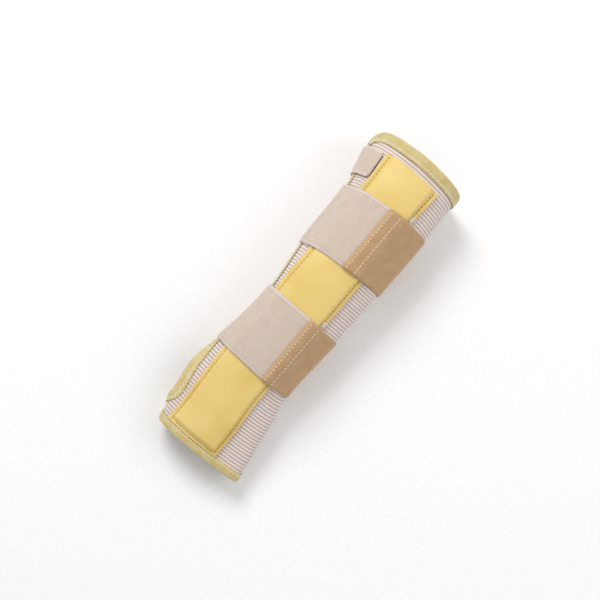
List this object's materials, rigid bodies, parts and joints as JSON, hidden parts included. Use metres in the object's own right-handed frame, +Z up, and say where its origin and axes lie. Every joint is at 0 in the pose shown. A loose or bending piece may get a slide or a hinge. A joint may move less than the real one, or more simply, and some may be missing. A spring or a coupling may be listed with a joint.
{
  "type": "wrist splint",
  "caption": "Long forearm and wrist splint for a right hand: ribbed knit sleeve with thumb hole, palm-side stay pocket, wide wrap straps and a closing tab.",
  "frame": {"origin": "on the floor, under the middle of the bounding box, with the splint on its back and the palm side up", "axes": "+X along the stay towards the elbow, +Y towards the thumb side, +Z up out of the palm side"},
  "size_m": [0.2984, 0.0962, 0.0756],
  "materials": {
    "knit": "ribbed elastic knit",
    "tape": "heathered elastic binding",
    "hide": "soft leather cloth, satin",
    "lining": "woven lining",
    "foam": "soft open foam",
    "aluminium": "rolled strip",
    "dip": "dipped vinyl",
    "loop": "brushed loop cloth",
    "elastic": "woven elastic",
    "hook": "hook tape",
    "thread": "sewing thread"
  },
  "bodies": {
    "sleeve": {"volar_panel": "knit", "dorsal_panel": "knit", "ulnar_seam_tape": "tape", "proximal_binding": "tape", "thumb_binding": "tape", "palm_binding": "tape", "pocket_lining": "lining", "pocket_foam": "foam", "pocket_cover": "hide", "upper_bartack": "thread", "lower_bartack": "thread", "top_tab_base": "loop", "upper_strap_elastic": "elastic", "upper_strap_front": "loop", "lower_strap_elastic": "elastic", "lower_strap_front": "loop"},
    "stay": {"stay_blade": "aluminium", "stay_palm_tip": "dip", "stay_elbow_tip": "dip"},
    "upper_strap_free_end": {"upper_strap_end": "loop", "upper_strap_hook": "hook"},
    "lower_strap_free_end": {"lower_strap_end": "loop", "lower_strap_hook": "hook"},
    "tab_free_end": {"top_tab_end": "loop", "top_tab_hook": "hook"}
  },
  "joints": [
    {"name": "stay_draw", "type": "hinge", "parent": "sleeve", "child": "stay", "pos_m": [0.14828, 0.00297, -1.233], "axis": [0, 1, 0], "range_deg": [0, 11.2]},
    {"name": "upper_strap_peel", "type": "hinge", "parent": "sleeve", "child": "upper_strap_free_end", "pos_m": [0.06633, 0.02834, 0.00877], "axis": [0.9996, 0.0262, 0.0064], "range_deg": [0, 140]},
    {"name": "lower_strap_peel", "type": "hinge", "parent": "sleeve", "child": "lower_strap_free_end", "pos_m": [-0.03398, 0.02664, 0.00774], "axis": [0.9961, -0.0875, 0.0152], "range_deg": [0, 140]},
    {"name": "tab_peel", "type": "hinge", "parent": "sleeve", "child": "tab_free_end", "pos_m": [0.11645, 0.04458, 0.02866], "axis": [-0.9696, -0.2386, 0.0543], "range_deg": [0, 135]}
  ]
}
